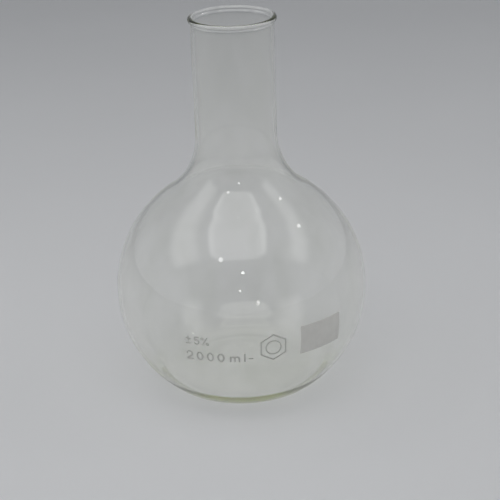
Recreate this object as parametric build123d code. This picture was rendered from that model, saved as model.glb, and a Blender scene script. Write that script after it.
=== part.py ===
"""Flat-bottomed boiling flask, 2000 ml: blown glass body with fired enamel marks.

Millimetres, +Z up. The origin is the centre of the standing face, +Z is the axis of the flask
and -Y is its front, where the marks are.
"""

from build123d import *
import os
from math import acos, atan2, cos, degrees, hypot, sin, sqrt

# Driving dimensions
TOTAL_HEIGHT = 250.0
BULB_DIAMETER = 168.0
BULB_HEIGHT = 165.0  # the oval's own height, a little less than its diameter
BULB_CENTRE_HEIGHT = 66.0
NECK_DIAMETER = 52.5
SHOULDER_RADIUS = 48.0
HEEL_RADIUS = 24.0
WALL = 1.85
BASE_THICKNESS = 3.8
INNER_HEEL_RADIUS = 34.0  # larger than the heel, so the glass gathers there
PUSH_UP_DIAMETER = 74.0
PUSH_UP_RISE = 1.3
RIM_BEAD_RADIUS = 1.7
RIM_UNDERCUT_RADIUS = 3.0

# Enamel marks, placed along the bulb's equator from the front and by height above the base
ENAMEL_THICKNESS = 0.1
PRINT_LINE_WIDTH = 1.15
FINE_LINE_WIDTH = 0.85
PANEL_SIZE = (31.5, 20.0)
PANEL_PLACE = (53.0, 61.3)
CAPACITY_START = -35.3
CAPACITY_BASELINE = 51.3
DIGIT_SIZE = (4.7, 6.6)
DIGIT_PITCH = 6.85
SMALL_LETTER_HEIGHT = 4.7
UNIT_PLACES = (-5.9, 0.4)
MARK_LINE_PLACE = (4.2, 53.9)
MARK_LINE_LENGTH = 3.2
TOLERANCE_BASELINE = 62.9
TOLERANCE_SIZE = (3.8, 5.6)
TOLERANCE_PLACES = (-35.6, -30.0, -24.6)
EMBLEM_PLACE = (18.6, 60.6)
EMBLEM_RADIUS = 9.6
EMBLEM_RING_RADIUS = 5.2

BULB_RADIUS = BULB_DIAMETER / 2
BORE_RADIUS = NECK_DIAMETER / 2 - WALL
RIM_CENTRE_HEIGHT = TOTAL_HEIGHT - RIM_BEAD_RADIUS
PRINT_BAND = (40.0, 80.0)
PRISM_START = 70.0
PRISM_DEPTH = 20.0


def arc_about(centre, start, end):
    """The shorter arc round a centre, from start to end."""
    radius = hypot(start[0] - centre[0], start[1] - centre[1])
    first = degrees(atan2(start[1] - centre[1], start[0] - centre[0]))
    last = degrees(atan2(end[1] - centre[1], end[0] - centre[0]))
    sweep = (last - first + 180) % 360 - 180
    return CenterArc(centre, radius, first, sweep)


def oval_radii(half_width, half_height):
    """Side and crown radii of a four-arc oval whose sides follow the ellipse at its equator."""
    side = (BULB_HEIGHT / 2) ** 2 / BULB_RADIUS - (BULB_RADIUS - half_width)
    inset = half_width - side
    crown = (inset**2 + half_height**2 - side**2) / (2 * (half_height - side))
    return side, crown


def half_outline(offset, floor_height, heel_radius, top_height):
    """Half section of the bulb and neck, an offset inside the outer surface.

    It is drawn with X as the radius and Y as the height.
    """
    half_width = BULB_RADIUS - offset
    half_height = BULB_HEIGHT / 2 - offset
    neck_radius = NECK_DIAMETER / 2 - offset
    side, crown = oval_radii(half_width, half_height)
    middle = BULB_CENTRE_HEIGHT
    drop = crown - half_height
    side_centre = (half_width - side, middle)
    crown_centre = (0, middle - drop)
    lower_centre = (0, middle + drop)
    reach = side / (crown - side)
    join = side_centre[0] * (1 + reach)
    join_rise = drop * (1 + reach) - drop
    upper_join = (join, middle + join_rise)
    lower_join = (join, middle - join_rise)
    neck_foot = (neck_radius, crown_centre[1] + sqrt(crown**2 - neck_radius**2))
    floor_edge = (sqrt(crown**2 - (lower_centre[1] - floor_height) ** 2), floor_height)
    edges = [
        Line((0, floor_height), floor_edge),
        arc_about(lower_centre, floor_edge, lower_join),
        arc_about(side_centre, lower_join, upper_join),
        arc_about(crown_centre, upper_join, neck_foot),
        Line(neck_foot, (neck_radius, top_height)),
        Line((neck_radius, top_height), (0, top_height)),
        Line((0, top_height), (0, floor_height)),
    ]
    face = make_face(edges)
    face = fillet(nearest_corner(face, neck_foot), SHOULDER_RADIUS + offset)
    return fillet(nearest_corner(face, floor_edge), heel_radius)


def nearest_corner(face, point):
    """The corner of a face that is nearest to a point."""
    return face.vertices().sort_by_distance(Vector(*point))[0]


def low_dome(foot_height):
    """Half section of the shallow dome that lifts the middle of the base."""
    foot = (PUSH_UP_DIAMETER / 2, foot_height)
    top = (0, foot_height + PUSH_UP_RISE)
    radius = (foot[0] ** 2 + PUSH_UP_RISE**2) / (2 * PUSH_UP_RISE)
    edges = [
        arc_about((0, top[1] - radius), foot, top),
        Line(top, (0, foot_height)),
        Line((0, foot_height), foot),
    ]
    return make_face(edges)


def revolved(half_section):
    """The solid of revolution of a half section about the flask's axis."""
    return revolve(Plane.XZ * half_section, Axis.Z, 360)


def flask_body():
    """The glass: bead, neck, shoulder, bulb and pushed-up base, blown in one piece."""
    outside = half_outline(0, 0, HEEL_RADIUS, RIM_CENTRE_HEIGHT)
    bead_centre = (BORE_RADIUS + RIM_BEAD_RADIUS, RIM_CENTRE_HEIGHT)
    outside += Pos(*bead_centre) * Circle(RIM_BEAD_RADIUS)
    outside -= low_dome(0)
    undercut = (NECK_DIAMETER / 2, RIM_CENTRE_HEIGHT - RIM_BEAD_RADIUS)
    outside = fillet(nearest_corner(outside, undercut), RIM_UNDERCUT_RADIUS)
    inside = half_outline(WALL, BASE_THICKNESS, INNER_HEEL_RADIUS, TOTAL_HEIGHT)
    inside -= low_dome(BASE_THICKNESS)
    return revolved(outside - inside)


def enamel_skin():
    """A thin band of the bulb's outer surface, which every enamel mark is cut from."""
    side, _ = oval_radii(BULB_RADIUS, BULB_HEIGHT / 2)
    centre = (BULB_RADIUS - side, BULB_CENTRE_HEIGHT)

    def edge(radius):
        ends = [(centre[0] + sqrt(radius**2 - (h - centre[1]) ** 2), h) for h in PRINT_BAND]
        return arc_about(centre, *ends)

    inner = edge(side)
    outer = edge(side + ENAMEL_THICKNESS)
    foot = Line(inner @ 0, outer @ 0)
    head = Line(inner @ 1, outer @ 1)
    return revolved(make_face([inner, head, outer, foot]))


def printed(drawing, along, height, skin):
    """A flat drawing, printed on the bulb at a distance along its equator and a height."""
    angle = along / BULB_RADIUS
    outward = Vector(sin(angle), -cos(angle), 0)
    sideways = Vector(cos(angle), sin(angle), 0)
    origin = outward * PRISM_START + Vector(0, 0, height)
    plane = Plane(origin=origin, x_dir=sideways, z_dir=outward)
    return extrude(plane * drawing, PRISM_DEPTH) & skin


def bar(start, end, width):
    """A straight round-ended stroke."""
    middle = ((start[0] + end[0]) / 2, (start[1] + end[1]) / 2)
    return SlotCenterPoint(middle, end, width)


def bend(centre, radius, start_angle, sweep, width):
    """A curved round-ended stroke."""
    return SlotArc(CenterArc(centre, radius, start_angle, sweep), width)


def oval_ring(centre, size, width):
    """A closed oval stroke."""
    outer = Ellipse(size[0] / 2, size[1] / 2)
    return Pos(*centre) * (outer - Ellipse(size[0] / 2 - width, size[1] / 2 - width))


def zero(size, width):
    return oval_ring((0, size[1] / 2), size, width)


def two(size, width):
    side = (size[0] - width) / 2
    top = (0, size[1] - width / 2 - side)
    turn = -40
    end = (side * cos(turn / degrees(1)), top[1] + side * sin(turn / degrees(1)))
    foot = (-side, width / 2)
    return (
        bend(top, side, turn, 170 - turn, width)
        + bar(end, foot, width)
        + bar(foot, (side, width / 2), width)
    )


def five(size, width):
    side = (size[0] - width) / 2
    head = size[1] - width / 2
    bowl = (0, width / 2 + side)
    shoulder = (-side * 0.8, bowl[1] + side * 0.75)
    return (
        bar((-side * 0.8, head), (side * 0.9, head), width)
        + bar((-side * 0.8, head), shoulder, width)
        + bend(bowl, side, -150, 280, width)
    )


def letter_m(size, width):
    step = (size[0] - width) / 2
    bow = step / 2
    spring = size[1] - width / 2 - bow
    drawing = bar((-step, width / 2), (-step, size[1] - width / 2), width)
    for side in (0, step):
        drawing += bar((side, width / 2), (side, spring), width)
        drawing += bend((side - bow, spring), bow, 0, 180, width)
    return drawing


def letter_l(size, width):
    return bar((0, width / 2), (0, size[1] - width / 2), width)


def plus_minus(size, width):
    half = (size[0] - width) / 2
    middle = (size[1] + width) / 2 + width / 2
    return (
        bar((-half, width / 2), (half, width / 2), width)
        + bar((-half, middle), (half, middle), width)
        + bar((0, middle - half), (0, middle + half), width)
    )


def percent(size, width):
    ring = (size[0] * 0.56, size[0] * 0.56)
    lean = size[0] / 2 - width / 2
    drawing = bar((-lean, width / 2), (lean, size[1] - width / 2), width)
    for side in (-1, 1):
        centre = (side * size[0] * 0.44, size[1] / 2 - side * (size[1] - ring[1]) / 2)
        drawing += oval_ring(centre, ring, width * 0.8)
    return drawing


def capacity_marking(skin):
    """The rated volume, 2000 ml."""
    marks = []
    for place, digit in enumerate((two, zero, zero, zero)):
        along = CAPACITY_START + place * DIGIT_PITCH
        marks.append(printed(digit(DIGIT_SIZE, PRINT_LINE_WIDTH), along, CAPACITY_BASELINE, skin))
    m_size = (DIGIT_SIZE[0] * 1.4, SMALL_LETTER_HEIGHT)
    unit = (letter_m(m_size, PRINT_LINE_WIDTH), letter_l(DIGIT_SIZE, PRINT_LINE_WIDTH))
    for drawing, along in zip(unit, UNIT_PLACES):
        marks.append(printed(drawing, along, CAPACITY_BASELINE, skin))
    return Compound(children=marks)


def tolerance_marking(skin):
    """The tolerance of the rated volume, +-5 %."""
    marks = []
    for sign, along in zip((plus_minus, five, percent), TOLERANCE_PLACES):
        drawing = sign(TOLERANCE_SIZE, FINE_LINE_WIDTH)
        marks.append(printed(drawing, along, TOLERANCE_BASELINE, skin))
    return Compound(children=marks)


def level_dash(skin):
    """The short dash after the rated volume."""
    half = (MARK_LINE_LENGTH - FINE_LINE_WIDTH) / 2
    drawing = bar((-half, 0), (half, 0), FINE_LINE_WIDTH)
    return printed(drawing, *MARK_LINE_PLACE, skin)


def writing_panel(skin):
    """The matt field for pencil notes."""
    return printed(Rectangle(*PANEL_SIZE), *PANEL_PLACE, skin)


def lab_emblem(skin):
    """A plain hexagon with a ring in it."""
    hexagon = RegularPolygon(EMBLEM_RADIUS, 6, rotation=30)
    inner_hexagon = RegularPolygon(EMBLEM_RADIUS - PRINT_LINE_WIDTH, 6, rotation=30)
    ring = Circle(EMBLEM_RING_RADIUS) - Circle(EMBLEM_RING_RADIUS - FINE_LINE_WIDTH)
    return printed(hexagon - inner_hexagon + ring, *EMBLEM_PLACE, skin)


def main():
    os.makedirs("parts", exist_ok=True)
    skin = enamel_skin()
    nodes = {
        "flask_body": flask_body(),
        "writing_panel": writing_panel(skin),
        "capacity_marking": capacity_marking(skin),
        "tolerance_marking": tolerance_marking(skin),
        "level_dash": level_dash(skin),
        "lab_emblem": lab_emblem(skin),
    }
    for name, shape in nodes.items():
        export_step(shape, f"parts/{name}.step")


main()
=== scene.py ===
"""Looks of the flat-bottomed boiling flask: blown glass, fired enamel marks, pale studio.

Metres, +Z up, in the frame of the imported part. The glass is made anew as a fine mesh, round the
same axis and at the same sizes as the solid that it stands for. The marks are the part's own.
"""

from math import atan2, ceil, cos, hypot, pi, radians, sin, sqrt

import bpy
from mathutils import Matrix, Vector


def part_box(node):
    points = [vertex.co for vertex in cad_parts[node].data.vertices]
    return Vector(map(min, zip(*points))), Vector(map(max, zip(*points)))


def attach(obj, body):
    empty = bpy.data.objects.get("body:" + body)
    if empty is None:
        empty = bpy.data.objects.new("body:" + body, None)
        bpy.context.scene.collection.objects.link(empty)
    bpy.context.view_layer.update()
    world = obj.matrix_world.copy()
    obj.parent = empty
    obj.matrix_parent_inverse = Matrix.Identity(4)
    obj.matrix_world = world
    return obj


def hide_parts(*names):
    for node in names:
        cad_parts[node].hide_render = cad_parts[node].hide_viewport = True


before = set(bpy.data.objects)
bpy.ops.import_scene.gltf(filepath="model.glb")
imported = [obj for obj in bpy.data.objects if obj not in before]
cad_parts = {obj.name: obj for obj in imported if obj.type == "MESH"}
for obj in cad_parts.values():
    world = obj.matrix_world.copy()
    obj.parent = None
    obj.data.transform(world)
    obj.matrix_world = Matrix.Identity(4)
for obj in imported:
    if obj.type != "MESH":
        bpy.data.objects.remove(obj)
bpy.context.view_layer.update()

MM = 0.001

# The flask's own sizes, in metres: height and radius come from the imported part
BODY_LOW, BODY_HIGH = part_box("flask_body")
TOTAL_HEIGHT = BODY_HIGH.z
BULB_RADIUS = (BODY_HIGH.x - BODY_LOW.x) / 2
BULB_HALF_HEIGHT = 82.5 * MM
BULB_CENTRE_HEIGHT = 66 * MM
NECK_RADIUS = 26.25 * MM
SHOULDER_RADIUS = 48 * MM
HEEL_RADIUS = 24 * MM
WALL = 1.85 * MM
BASE_THICKNESS = 3.8 * MM
INNER_HEEL_RADIUS = 34 * MM
PUSH_UP_RADIUS = 37 * MM
PUSH_UP_RISE = 1.3 * MM
BEAD_RADIUS = 1.7 * MM
UNDERCUT_RADIUS = 3 * MM

# Glass mesh
SEGMENTS = 240
COARSE_STEP = 2.4 * MM
FINE_STEP = 0.45 * MM

# Glass: clean and smeared surface, the tint that gathers with depth, and the depth of its bumps
CLEAR_GLASS = (0.999, 1.0, 0.990)
SMEARED_GLASS = (0.957, 0.962, 0.942)
GLASS_DEPTH_COLOUR = (0.735, 0.755, 0.56, 1)
GLASS_DEPTH_DENSITY = 12.0
REFRACTIVE_INDEX = 1.473
SMEAR_ROUGHNESS = 0.07
WAVE_DEPTH = 0.4 * MM
CORD_DEPTH = 0.012 * MM

# Enamel and paper: the two colours that each is mottled between
FIELD_COLOURS = ((0.69, 0.68, 0.642), (0.74, 0.732, 0.692))
FIELD_PATCHES = 180
# The print colours are the field's white enamel darkened: painted shade standing in for how the
# backlit lettering looks.
SHADED_PRINT_COLOURS = ((0.52, 0.515, 0.485), (0.61, 0.605, 0.575))
PRINT_PATCHES = 120
PAPER_COLOURS = ((0.694, 0.696, 0.700), (0.710, 0.712, 0.716))
MOTTLE_DEPTH = 0.03 * MM
TOOTH_DEPTH = 0.02 * MM
FIBRE_DEPTH = 0.05 * MM
MARKS = ("writing_panel", "capacity_marking", "tolerance_marking", "level_dash", "lab_emblem")

# Studio: the floor lies a hair below the base, so that the two faces never coincide
FLOOR_REACH = 8.0
FLOOR_HEIGHT = -0.2 * MM
LIGHT_BOUNCES = 128  # light runs a long way round inside the heel and the bead
LAMP_POWER = 4  # of an area lamp, for one square metre and a radiance of one

# Ceiling lamp: sizes and places by width and depth, and glows as shares of its radiance
CEILING_HEIGHT = 0.9
CEILING_SIZE = (3.4, 2.2)
CEILING_RADIANCE = 1.2
PANEL_MIDDLE = (-0.04, -0.34)
PANEL_HALF_SIZE = (0.38, 0.40)
PANEL_CORNER = 0.25
PANEL_WIDENING = 0.55
PANEL_GLOW = 0.56
RIM_GLOW = 0.40
CLOTH_GLOW = (0.06, 0.68)

# Small lamps: azimuth from the front and elevation in degrees, width, radiance
GLINTS = ((2, 35, 0.07, 9), (99, 43, 0.07, 7), (-25, 46, 0.10, 5))
GLINT_DISTANCE = 1.5
GLINT_TARGET = (0, 0, 0.12)

# Air: radiance at the horizon and overhead, more of it at the sides, and the dark opening's depth
AIR_COLOUR = (0.935, 0.96, 1.0, 1)
AIR_RADIANCE = (0.38, 0.33)
SIDE_RADIANCE = 0.14
OPENING_SHADE = 0.6

# Camera: pitch downwards, yaw to the right, roll about its own line of sight
CAMERA_PLACE = (0, -0.750, 0.4364)
CAMERA_PITCH = radians(24.785)
CAMERA_YAW = radians(0.492)
CAMERA_ROLL = radians(-1.881)
LENS_MM = 88.52
SENSOR_MM = 36


def polar(centre, radius, angle):
    """The point at an angle on a circle."""
    return (centre[0] + radius * cos(angle), centre[1] + radius * sin(angle))


def angle_of(centre, point):
    """The direction of a point, seen from a centre."""
    return atan2(point[1] - centre[1], point[0] - centre[0])


def along_arc(centre, start, end, step):
    """Points on the shorter arc from start to end, without the end."""
    radius = hypot(start[0] - centre[0], start[1] - centre[1])
    first = angle_of(centre, start)
    sweep = (angle_of(centre, end) - first + pi) % (2 * pi) - pi
    count = max(2, ceil(abs(sweep) * radius / step))
    return [polar(centre, radius, first + sweep * i / count) for i in range(count)]


def along_line(start, end, step):
    """Points on a straight run from start to end, without the end."""
    count = max(1, ceil(hypot(end[0] - start[0], end[1] - start[1]) / step))
    return [
        (start[0] + (end[0] - start[0]) * i / count, start[1] + (end[1] - start[1]) * i / count)
        for i in range(count)
    ]


class Shell:
    """Half section of bulb and neck at an offset inside the outer surface, as tangent arcs."""

    def __init__(self, offset, floor, heel_radius):
        half_width = BULB_RADIUS - offset
        half_height = BULB_HALF_HEIGHT - offset
        self.neck = NECK_RADIUS - offset
        self.side = BULB_HALF_HEIGHT**2 / BULB_RADIUS - offset
        inset = half_width - self.side
        self.crown = (inset**2 + half_height**2 - self.side**2) / (2 * (half_height - self.side))
        drop = self.crown - half_height
        self.side_centre = (inset, BULB_CENTRE_HEIGHT)
        self.upper_centre = (0, BULB_CENTRE_HEIGHT - drop)
        self.lower_centre = (0, BULB_CENTRE_HEIGHT + drop)
        upper_join_angle = angle_of(self.upper_centre, self.side_centre)
        self.upper_join = polar(self.upper_centre, self.crown, upper_join_angle)
        self.lower_join = polar(self.lower_centre, self.crown, -upper_join_angle)
        fillet = SHOULDER_RADIUS + offset
        run = self.neck + fillet
        rise = sqrt((self.crown + fillet) ** 2 - run**2)
        self.shoulder_centre = (run, self.upper_centre[1] + rise)
        self.shoulder_top = (self.neck, self.shoulder_centre[1])
        crown_angle = angle_of(self.upper_centre, self.shoulder_centre)
        self.shoulder_foot = polar(self.upper_centre, self.crown, crown_angle)
        heel_height = floor + heel_radius
        reach = self.crown - heel_radius
        heel_run = sqrt(reach**2 - (self.lower_centre[1] - heel_height) ** 2)
        self.heel_centre = (heel_run, heel_height)
        self.heel_foot = (heel_run, floor)
        heel_angle = angle_of(self.lower_centre, self.heel_centre)
        self.heel_top = polar(self.lower_centre, self.crown, heel_angle)

    def points(self):
        """From the heel's foot on the floor up to the straight neck, without the last point."""
        return (
            along_arc(self.heel_centre, self.heel_foot, self.heel_top, COARSE_STEP / 2)
            + along_arc(self.lower_centre, self.heel_top, self.lower_join, COARSE_STEP)
            + along_arc(self.side_centre, self.lower_join, self.upper_join, COARSE_STEP)
            + along_arc(self.upper_centre, self.upper_join, self.shoulder_foot, COARSE_STEP)
            + along_arc(self.shoulder_centre, self.shoulder_foot, self.shoulder_top, COARSE_STEP)
        )


def dome(foot):
    """The shallow dome in the middle of the base, from the axis out to its foot."""
    radius = (PUSH_UP_RADIUS**2 + PUSH_UP_RISE**2) / (2 * PUSH_UP_RISE)
    centre = (0, foot + PUSH_UP_RISE - radius)
    return along_arc(centre, (0, foot + PUSH_UP_RISE), (PUSH_UP_RADIUS, foot), COARSE_STEP)


def glass_section():
    """Closed half section of the glass: up the outside, over the bead and down the inside."""
    outside = Shell(0, 0, HEEL_RADIUS)
    inside = Shell(WALL, BASE_THICKNESS, INNER_HEEL_RADIUS)
    bead_centre = (NECK_RADIUS - WALL + BEAD_RADIUS, TOTAL_HEIGHT - BEAD_RADIUS)
    run = NECK_RADIUS + UNDERCUT_RADIUS - bead_centre[0]
    rise = sqrt((BEAD_RADIUS + UNDERCUT_RADIUS) ** 2 - run**2)
    undercut_centre = (NECK_RADIUS + UNDERCUT_RADIUS, bead_centre[1] - rise)
    undercut_foot = (NECK_RADIUS, undercut_centre[1])
    touch = polar(bead_centre, BEAD_RADIUS, angle_of(bead_centre, undercut_centre))
    outer_lip = (bead_centre[0] + BEAD_RADIUS, bead_centre[1])
    crest = (bead_centre[0], TOTAL_HEIGHT)
    inner_lip = (inside.neck, bead_centre[1])
    outward = (
        dome(0)
        + along_line((PUSH_UP_RADIUS, 0), outside.heel_foot, COARSE_STEP)
        + outside.points()
        + along_line(outside.shoulder_top, undercut_foot, COARSE_STEP)
        + along_arc(undercut_centre, undercut_foot, touch, FINE_STEP)
        + along_arc(bead_centre, touch, outer_lip, FINE_STEP)
        + along_arc(bead_centre, outer_lip, crest, FINE_STEP)
        + along_arc(bead_centre, crest, inner_lip, FINE_STEP)
    )
    inward = (
        dome(BASE_THICKNESS)
        + along_line((PUSH_UP_RADIUS, BASE_THICKNESS), inside.heel_foot, COARSE_STEP)
        + inside.points()
        + along_line(inside.shoulder_top, inner_lip, COARSE_STEP)
    )
    return outward + inward[::-1]


def new_mesh(name, vertices, faces):
    """A smooth-shaded mesh object, linked to the scene."""
    mesh = bpy.data.meshes.new(name)
    mesh.from_pydata(vertices, [], faces)
    mesh.validate()
    mesh.polygons.foreach_set("use_smooth", [True] * len(mesh.polygons))
    mesh.update()
    piece = bpy.data.objects.new(name, mesh)
    bpy.context.scene.collection.objects.link(piece)
    return piece


def lathe(name, section):
    """Turns a half section that starts and ends on the axis into a closed mesh."""
    rings = section[1:-1]
    vertices = [(0, 0, section[0][1])]
    for radius, height in rings:
        for i in range(SEGMENTS):
            angle = 2 * pi * i / SEGMENTS
            vertices.append((radius * cos(angle), radius * sin(angle), height))
    vertices.append((0, 0, section[-1][1]))
    last = len(vertices) - 1
    faces = []
    for i in range(SEGMENTS):
        j = (i + 1) % SEGMENTS
        faces.append((0, 1 + j, 1 + i))
        for ring in range(len(rings) - 1):
            low = 1 + ring * SEGMENTS
            high = low + SEGMENTS
            faces.append((low + i, low + j, high + j, high + i))
        top = 1 + (len(rings) - 1) * SEGMENTS
        faces.append((last, top + i, top + j))
    return new_mesh(name, vertices, faces)


def measured(tree, operation, *values):
    """A math node's output, with numbers set on the node and sockets linked to it."""
    made = tree.nodes.new("ShaderNodeMath")
    made.operation = operation
    for socket, value in zip(made.inputs, values):
        if isinstance(value, (int, float)):
            socket.default_value = value
        else:
            tree.links.new(value, socket)
    return made.outputs[0]


def eased(tree, value, low, high, first, last):
    """Goes smoothly from first to last while the value goes from low to high."""
    made = tree.nodes.new("ShaderNodeMapRange")
    made.interpolation_type = "SMOOTHSTEP"
    tree.links.new(value, made.inputs["Value"])
    for key, number in (("From Min", low), ("From Max", high), ("To Min", first), ("To Max", last)):
        made.inputs[key].default_value = number
    return made.outputs["Result"]


def blank_material(name):
    """A new material with its node tree and its main shader."""
    material = bpy.data.materials.new(name)
    material.use_nodes = True
    tree = material.node_tree
    return material, tree, tree.nodes["Principled BSDF"]


def stretched(tree, scale):
    """Object coordinates, multiplied along each axis."""
    made = tree.nodes.new("ShaderNodeMapping")
    tree.links.new(tree.nodes.new("ShaderNodeTexCoord").outputs["Object"], made.inputs["Vector"])
    made.inputs["Scale"].default_value = scale
    return made.outputs["Vector"]


def clouds(tree, vector, scale, detail, roughness):
    """Soft noise between 0 and 1."""
    made = tree.nodes.new("ShaderNodeTexNoise")
    tree.links.new(vector, made.inputs["Vector"])
    made.inputs["Scale"].default_value = scale
    made.inputs["Detail"].default_value = detail
    made.inputs["Roughness"].default_value = roughness
    return made.outputs["Fac"]


def tinted(tree, value, low, high, first, last):
    """Goes from one colour to another while the value goes from low to high."""
    made = tree.nodes.new("ShaderNodeValToRGB")
    tree.links.new(value, made.inputs["Fac"])
    for element, place, colour in zip(made.color_ramp.elements, (low, high), (first, last)):
        element.position = place
        element.color = (*colour, 1)
    return made.outputs["Color"]


def bumped(tree, shader, layers):
    """Adds bumps to a shader, each a height between 0 and 1 with its full depth in metres."""
    normal = None
    for height, depth in layers:
        made = tree.nodes.new("ShaderNodeBump")
        made.inputs["Distance"].default_value = depth
        tree.links.new(height, made.inputs["Height"])
        if normal:
            tree.links.new(normal, made.inputs["Normal"])
        normal = made.outputs["Normal"]
    tree.links.new(normal, shader.inputs["Normal"])


def glass_material():
    """Blown glass: faintly wavy, with drawn-out cords, thin smears of haze and an olive depth."""
    material, tree, shader = blank_material("borosilicate")
    shader.inputs["Transmission Weight"].default_value = 1.0
    shader.inputs["IOR"].default_value = REFRACTIVE_INDEX
    even = stretched(tree, (1, 1, 1))
    drawn_out = stretched(tree, (1, 1, 0.12))
    wiped = stretched(tree, (1, 1, 0.45))
    waves = clouds(tree, even, scale=17, detail=1.0, roughness=0.4)
    cords = clouds(tree, drawn_out, scale=150, detail=1.5, roughness=0.5)
    smears = clouds(tree, wiped, scale=38, detail=5.0, roughness=0.62)
    colour = tinted(tree, smears, 0.45, 0.72, CLEAR_GLASS, SMEARED_GLASS)
    tree.links.new(colour, shader.inputs["Base Color"])
    haze = eased(tree, smears, 0.5, 0.8, 0.0, SMEAR_ROUGHNESS)
    tree.links.new(haze, shader.inputs["Roughness"])
    bumped(tree, shader, ((waves, WAVE_DEPTH), (cords, CORD_DEPTH)))
    volume = tree.nodes.new("ShaderNodeVolumeAbsorption")
    volume.inputs["Color"].default_value = GLASS_DEPTH_COLOUR
    volume.inputs["Density"].default_value = GLASS_DEPTH_DENSITY
    tree.links.new(volume.outputs[0], tree.nodes["Material Output"].inputs["Volume"])
    return material


def flask_glass():
    """The whole flask as one closed glass mesh."""
    piece = lathe("flask_glass", glass_section())
    piece.data.materials.append(glass_material())
    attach(piece, "root")
    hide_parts("flask_body")


def enamel_material(name, colours, patches):
    """Fired enamel: matt, mottled between two colours, with a fine tooth."""
    material, tree, shader = blank_material(name)
    even = stretched(tree, (1, 1, 1))
    mottle = clouds(tree, even, scale=patches, detail=4.0, roughness=0.6)
    tooth = clouds(tree, even, scale=2600, detail=2.0, roughness=0.6)
    tree.links.new(tinted(tree, mottle, 0.3, 0.7, *colours), shader.inputs["Base Color"])
    tree.links.new(eased(tree, tooth, 0.3, 0.7, 0.5, 0.78), shader.inputs["Roughness"])
    bumped(tree, shader, ((mottle, MOTTLE_DEPTH), (tooth, TOOTH_DEPTH)))
    return material


def enamel_marks():
    """Gives the part's own marks their enamel, paler on the field than in the lettering: the
    lettering is the same white enamel darkened, painted shade for its backlit look.
    """
    field = enamel_material("field_enamel", FIELD_COLOURS, FIELD_PATCHES)
    # The print material is a darker copy of the field's white enamel: painted shade.
    lettering_with_shade = enamel_material("shaded_print_enamel", SHADED_PRINT_COLOURS, PRINT_PATCHES)
    for name in MARKS:
        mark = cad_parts[name]
        mark.data.materials.clear()
        mark.data.materials.append(field if name == "writing_panel" else lettering_with_shade)


def floor_material():
    """Pale matt paper with a hardly visible grain."""
    material, tree, shader = blank_material("paper_sweep")
    even = stretched(tree, (1, 1, 1))
    fibre = clouds(tree, even, scale=900, detail=3.0, roughness=0.6)
    cloud = clouds(tree, even, scale=4, detail=3.0, roughness=0.5)
    colour = tinted(tree, cloud, 0.3, 0.7, *PAPER_COLOURS)
    tree.links.new(colour, shader.inputs["Base Color"])
    tree.links.new(eased(tree, fibre, 0.3, 0.7, 0.62, 0.8), shader.inputs["Roughness"])
    bumped(tree, shader, ((fibre, FIBRE_DEPTH),))
    return material


def studio_floor():
    """A wide pale floor."""
    quadrants = ((-1, -1), (1, -1), (1, 1), (-1, 1))
    corners = [(x * FLOOR_REACH, y * FLOOR_REACH, FLOOR_HEIGHT) for x, y in quadrants]
    piece = new_mesh("studio_floor", corners, [(0, 1, 2, 3)])
    piece.data.materials.append(floor_material())


def softbox(name, place, target, size, radiance, shape="RECTANGLE"):
    """A flat lamp whose face has one radiance, turned from its place towards a target."""
    area = size[0] * size[1] * (pi / 4 if shape == "ELLIPSE" else 1)
    data = bpy.data.lights.new(name, "AREA")
    data.shape = shape
    data.size, data.size_y = size
    data.energy = LAMP_POWER * radiance * area
    lamp = bpy.data.objects.new(name, data)
    lamp.location = place
    lamp.rotation_mode = "QUATERNION"
    lamp.rotation_quaternion = (Vector(target) - Vector(place)).to_track_quat("-Z", "Y")
    lamp.visible_camera = False
    bpy.context.scene.collection.objects.link(lamp)
    return lamp


def axes(tree, vector):
    """The three coordinates of a vector."""
    made = tree.nodes.new("ShaderNodeSeparateXYZ")
    tree.links.new(vector, made.inputs[0])
    return made.outputs


def beyond_panel(tree, x, y):
    """Distance outside a rounded panel that widens to the front, negative within it."""
    rightward = measured(tree, "SUBTRACT", x, PANEL_MIDDLE[0])
    backward = measured(tree, "SUBTRACT", y, PANEL_MIDDLE[1])
    width = measured(tree, "SUBTRACT", 1.0, measured(tree, "MULTIPLY", backward, PANEL_WIDENING))
    squares = []
    sideways = measured(tree, "DIVIDE", rightward, width)
    for value, reach in zip((sideways, backward), PANEL_HALF_SIZE):
        size = measured(tree, "ABSOLUTE", value)
        outside = measured(tree, "SUBTRACT", size, reach - PANEL_CORNER)
        squares.append(measured(tree, "POWER", measured(tree, "MAXIMUM", outside, 0.0), 2.0))
    length = measured(tree, "SQRT", measured(tree, "ADD", *squares))
    return measured(tree, "SUBTRACT", length, PANEL_CORNER)


def ceiling():
    """One wide lamp: a soft panel with a brighter rim over the front, a dim gap, then cloth."""
    above = (0, 0, CEILING_HEIGHT)
    lamp = softbox("ceiling", above, (0, 0, 0), CEILING_SIZE, CEILING_RADIANCE)
    lamp.data.use_nodes = True
    tree = lamp.data.node_tree
    x, y, _ = axes(tree, tree.nodes.new("ShaderNodeNewGeometry").outputs["Position"])
    distance = beyond_panel(tree, x, y)
    front = eased(tree, y, -0.80, -0.45, 0.0, 1.0)
    rim = eased(tree, distance, -0.15, -0.03, 0.0, RIM_GLOW)
    panel = measured(tree, "ADD", PANEL_GLOW, measured(tree, "MULTIPLY", rim, front))
    panel = measured(tree, "MULTIPLY", panel, eased(tree, distance, -0.03, 0.04, 1.0, 0.0))
    gap = measured(tree, "SUBTRACT", distance, eased(tree, x, -0.3, 0.5, 0.05, 0.28))
    cloth = eased(tree, gap, 0.03, 0.32, *CLOTH_GLOW)
    far = eased(tree, distance, 0.70, 1.40, 1.0, 0.0)
    back = eased(tree, y, 0.0, 0.8, 1.0, 0.1)
    for fading in (far, front, back):
        cloth = measured(tree, "MULTIPLY", cloth, fading)
    strength = measured(tree, "ADD", panel, cloth)
    tree.links.new(strength, tree.nodes["Emission"].inputs["Strength"])


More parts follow.
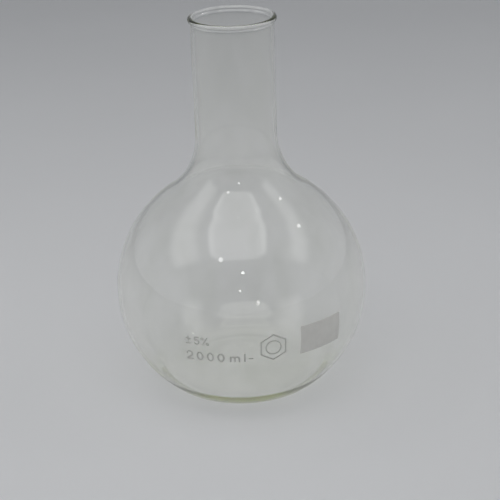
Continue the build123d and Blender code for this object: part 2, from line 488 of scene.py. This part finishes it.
def glints():
    """Small lamps round the flask that leave points of light on the glass."""
    for azimuth, elevation, width, radiance in GLINTS:
        turn, rise = radians(azimuth), radians(elevation)
        away = Vector((sin(turn) * cos(rise), -cos(turn) * cos(rise), sin(rise)))
        place = Vector(GLINT_TARGET) + GLINT_DISTANCE * away
        softbox("glint", place, GLINT_TARGET, (width, width), radiance, "ELLIPSE")


def studio_air():
    """Even soft air, a little brighter at the sides, with a dark opening low in front."""
    world = bpy.data.worlds.new("studio_air")
    world.use_nodes = True
    tree = world.node_tree
    x, y, z = axes(tree, tree.nodes.new("ShaderNodeTexCoord").outputs["Generated"])
    level = eased(tree, z, 0.10, 0.55, *AIR_RADIANCE)
    side = eased(tree, measured(tree, "ABSOLUTE", x), 0.70, 0.86, 0.0, SIDE_RADIANCE)
    opening = eased(tree, y, -0.92, -0.78, OPENING_SHADE, 0.0)
    for start, end, first, last in ((0.0, 0.3, 0.0, 1.0), (0.50, 0.66, 1.0, 0.0)):
        opening = measured(tree, "MULTIPLY", opening, eased(tree, z, start, end, first, last))
    light = measured(tree, "ADD", level, side)
    light = measured(tree, "MULTIPLY", light, measured(tree, "SUBTRACT", 1.0, opening))
    background = tree.nodes["Background"]
    background.inputs["Color"].default_value = AIR_COLOUR
    tree.links.new(light, background.inputs["Strength"])
    bpy.context.scene.world = world


def camera():
    """The camera at the viewing angle of the picture, looking down on the flask's front."""
    forward = Vector((
        sin(CAMERA_YAW) * cos(CAMERA_PITCH),
        cos(CAMERA_YAW) * cos(CAMERA_PITCH),
        -sin(CAMERA_PITCH),
    ))
    level_right = Vector((cos(CAMERA_YAW), -sin(CAMERA_YAW), 0))
    level_up = level_right.cross(forward)
    right = cos(CAMERA_ROLL) * level_right + sin(CAMERA_ROLL) * level_up
    up = -sin(CAMERA_ROLL) * level_right + cos(CAMERA_ROLL) * level_up
    data = bpy.data.cameras.new("camera")
    data.lens = LENS_MM
    data.sensor_width = SENSOR_MM
    lens = bpy.data.objects.new("camera", data)
    turn = Matrix((right, up, -forward)).transposed()
    lens.matrix_world = Matrix.Translation(CAMERA_PLACE) @ turn.to_4x4()
    bpy.context.scene.collection.objects.link(lens)
    bpy.context.scene.camera = lens


def light_paths():
    """Plain colours, sharp highlights, and enough bounces for thick glass."""
    scene = bpy.context.scene
    scene.view_settings.view_transform = "Standard"
    scene.cycles.blur_glossy = 0
    scene.cycles.max_bounces = LIGHT_BOUNCES
    scene.cycles.glossy_bounces = LIGHT_BOUNCES
    scene.cycles.transmission_bounces = LIGHT_BOUNCES


light_paths()
enamel_marks()
flask_glass()
studio_floor()
ceiling()
glints()
studio_air()
camera()
